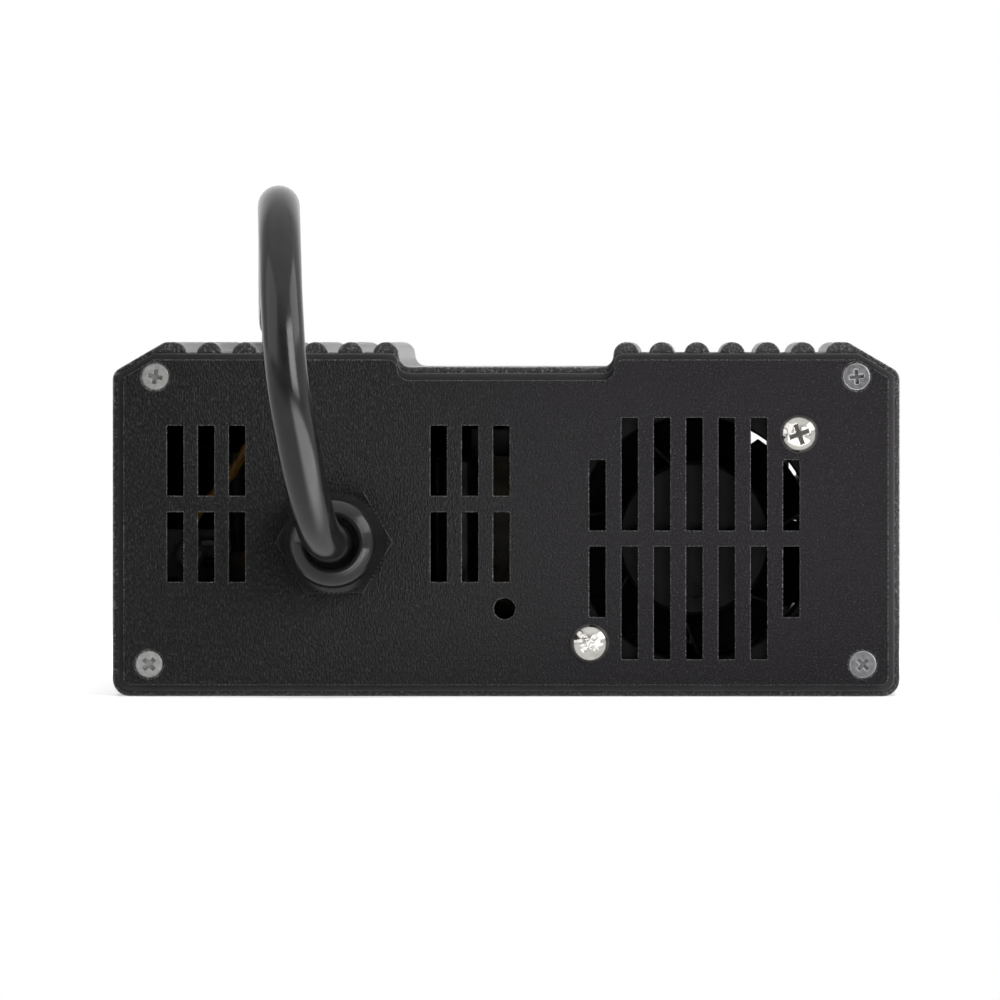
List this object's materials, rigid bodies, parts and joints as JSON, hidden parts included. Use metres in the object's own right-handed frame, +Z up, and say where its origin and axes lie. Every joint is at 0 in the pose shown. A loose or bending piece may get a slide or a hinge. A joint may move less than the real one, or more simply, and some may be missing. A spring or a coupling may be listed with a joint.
{
  "type": "lithium battery charger",
  "caption": "Fan-cooled battery charger in a ribbed black aluminium case, with vent slots, cable glands and a mains lead that ends in an earthed plug.",
  "frame": {"origin": "bottom centre of the case, measured without the mains lead", "axes": "+Z up through the ribbed top, +Y along the case from the mains and fan end to the output end, +X to the right when the mains end is looked at"},
  "size_m": [0.1884, 0.4805, 0.122],
  "materials": {
    "case_powder": "fine textured black powder coat",
    "plate_powder": "wrinkled black powder coat",
    "gasket_rubber": "smooth",
    "zinc_steel": "satin zinc",
    "nickel_steel": "bright nickel",
    "fan_plastic": "satin",
    "enamelled_copper": "enamelled",
    "black_nylon": "glossy",
    "seal_rubber": "matte",
    "lead_pvc": "semi-gloss",
    "tie_fabric": "woven",
    "plug_nickel": "nickel-plated brass",
    "board_green": "solder resist",
    "insulating_film": "satin",
    "bracket_steel": "zinc plated",
    "terminal_tin": "tinned",
    "fuse_body": "glazed",
    "film_capacitor": "moulded",
    "ferrite": "fired grey",
    "powder_core": "painted",
    "yellow_tape": "film tape",
    "capacitor_sleeve": "shrink sleeve",
    "bare_aluminium": "extruded",
    "black_epoxy": "moulded",
    "relay_case": "moulded",
    "brown_wire": "insulated",
    "blue_wire": "insulated",
    "yellow_green_wire": "insulated",
    "red_wire": "insulated",
    "led_lens": "clear"
  },
  "bodies": {
    "case": {"housing_shell": "case_powder", "input_plate": "plate_powder", "output_plate": "plate_powder", "input_gasket": "gasket_rubber", "output_gasket": "gasket_rubber", "input_plate_screws": "zinc_steel", "output_plate_screws": "zinc_steel", "fan_screws": "nickel_steel", "fan_nuts": "nickel_steel", "fan_frame": "fan_plastic", "fan_stator": "enamelled_copper", "input_choke_windings": "enamelled_copper", "output_inductor_winding": "enamelled_copper", "mains_gland_body": "black_nylon", "mains_gland_cap": "black_nylon", "mains_gland_locknut": "black_nylon", "output_gland_body": "black_nylon", "output_gland_cap": "black_nylon", "output_gland_locknut": "black_nylon", "mains_gland_seal": "seal_rubber", "output_gland_seal": "seal_rubber", "mains_cord": "lead_pvc", "cord_coil": "lead_pvc", "cord_tail": "lead_pvc", "mains_plug": "lead_pvc", "cord_tie": "tie_fabric", "plug_pins": "plug_nickel", "plug_earth_clips": "plug_nickel", "circuit_board": "board_green", "control_board": "board_green", "insulation_sheet": "insulating_film", "earth_stud": "bracket_steel", "earth_clamp": "bracket_steel", "ring_terminal": "terminal_tin", "input_fuse": "fuse_body", "noise_capacitor": "film_capacitor", "transformer_core": "ferrite", "input_choke_core": "ferrite", "output_inductor_core": "powder_core", "transformer_winding": "yellow_tape", "bulk_capacitors": "capacitor_sleeve", "output_capacitors": "capacitor_sleeve", "filter_capacitor": "capacitor_sleeve", "primary_heatsink": "bare_aluminium", "secondary_heatsink": "bare_aluminium", "primary_transistors": "black_epoxy", "output_rectifiers": "black_epoxy", "terminal_block": "black_epoxy", "output_relay": "relay_case", "live_wire": "brown_wire", "neutral_wire": "blue_wire", "earth_wire": "yellow_green_wire", "output_wires": "red_wire", "fan_lead": "red_wire", "status_leds": "led_lens"},
    "rotor": {"fan_rotor": "fan_plastic"}
  },
  "joints": [
    {"name": "fan_spin", "type": "hinge", "parent": "case", "child": "rotor", "pos_m": [0.0451, -0.095, 0.0378], "axis": [0, 1, 0], "continuous": true}
  ]
}
